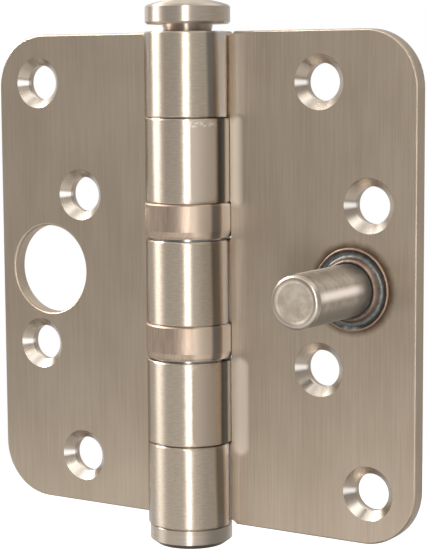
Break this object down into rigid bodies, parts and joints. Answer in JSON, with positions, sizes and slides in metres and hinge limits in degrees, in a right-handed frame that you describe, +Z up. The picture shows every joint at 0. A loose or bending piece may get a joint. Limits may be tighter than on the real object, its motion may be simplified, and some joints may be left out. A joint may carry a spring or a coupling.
{
  "type": "ball bearing butt hinge",
  "caption": "Knuckled butt hinge with thrust bearings in its barrel, a domed pin, countersunk leaves with rounded corners, and a security stud that enters a hole in the other leaf.",
  "frame": {"origin": "on the pin's centre line, at mid height of the leaves", "axes": "+Z up along the pin towards its head, +X towards the door leaf, -Y out of the countersunk faces; opened flat at rest"},
  "size_m": [0.089, 0.0261, 0.0989],
  "materials": {
    "brushed_leaf": "satin brushed stainless steel sheet, grain along the pin",
    "turned_pin": "turned and satin polished stainless steel",
    "turned_cap": "turned and satin polished stainless steel",
    "turned_stud": "turned stainless steel, a little heat dulled",
    "weld_bead": "heat tinted weld",
    "bearing_case": "drawn stainless steel, satin",
    "bearing_race": "hardened and ground steel",
    "bearing_cage": "pressed brass",
    "bearing_ball": "polished steel"
  },
  "bodies": {
    "frame_leaf": {"frame_leaf": "brushed_leaf", "upper_bearing_case": "bearing_case", "upper_bearing_top_race": "bearing_race", "lower_bearing_bottom_race": "bearing_race"},
    "door_leaf": {"door_leaf": "brushed_leaf", "security_stud": "turned_stud", "stud_weld": "weld_bead", "bottom_cap": "turned_cap", "upper_bearing_bottom_race": "bearing_race", "lower_bearing_case": "bearing_case", "lower_bearing_top_race": "bearing_race"},
    "upper_balls": {"upper_bearing_cage": "bearing_cage", "upper_bearing_balls": "bearing_ball"},
    "lower_balls": {"lower_bearing_cage": "bearing_cage", "lower_bearing_balls": "bearing_ball"},
    "hinge_pin": {"hinge_pin": "turned_pin"}
  },
  "joints": [
    {"name": "door_swing", "type": "hinge", "parent": "frame_leaf", "child": "door_leaf", "pos_m": [0, 0, 0], "axis": [0, 0, 1], "range_deg": [-180, 90]},
    {"name": "upper_balls_turn", "type": "hinge", "parent": "frame_leaf", "child": "upper_balls", "pos_m": [0, 0, 0], "axis": [0, 0, 1], "range_deg": [-90, 45]},
    {"name": "lower_balls_turn", "type": "hinge", "parent": "frame_leaf", "child": "lower_balls", "pos_m": [0, 0, 0], "axis": [0, 0, 1], "range_deg": [-90, 45]},
    {"name": "pin_lift", "type": "slide", "parent": "door_leaf", "child": "hinge_pin", "axis": [0, 0, 1], "range_m": [0, 0.092]}
  ],
  "couplings": [
    {"joint": "upper_balls_turn", "follows": "door_swing", "ratio": 0.5},
    {"joint": "lower_balls_turn", "follows": "door_swing", "ratio": 0.5}
  ]
}
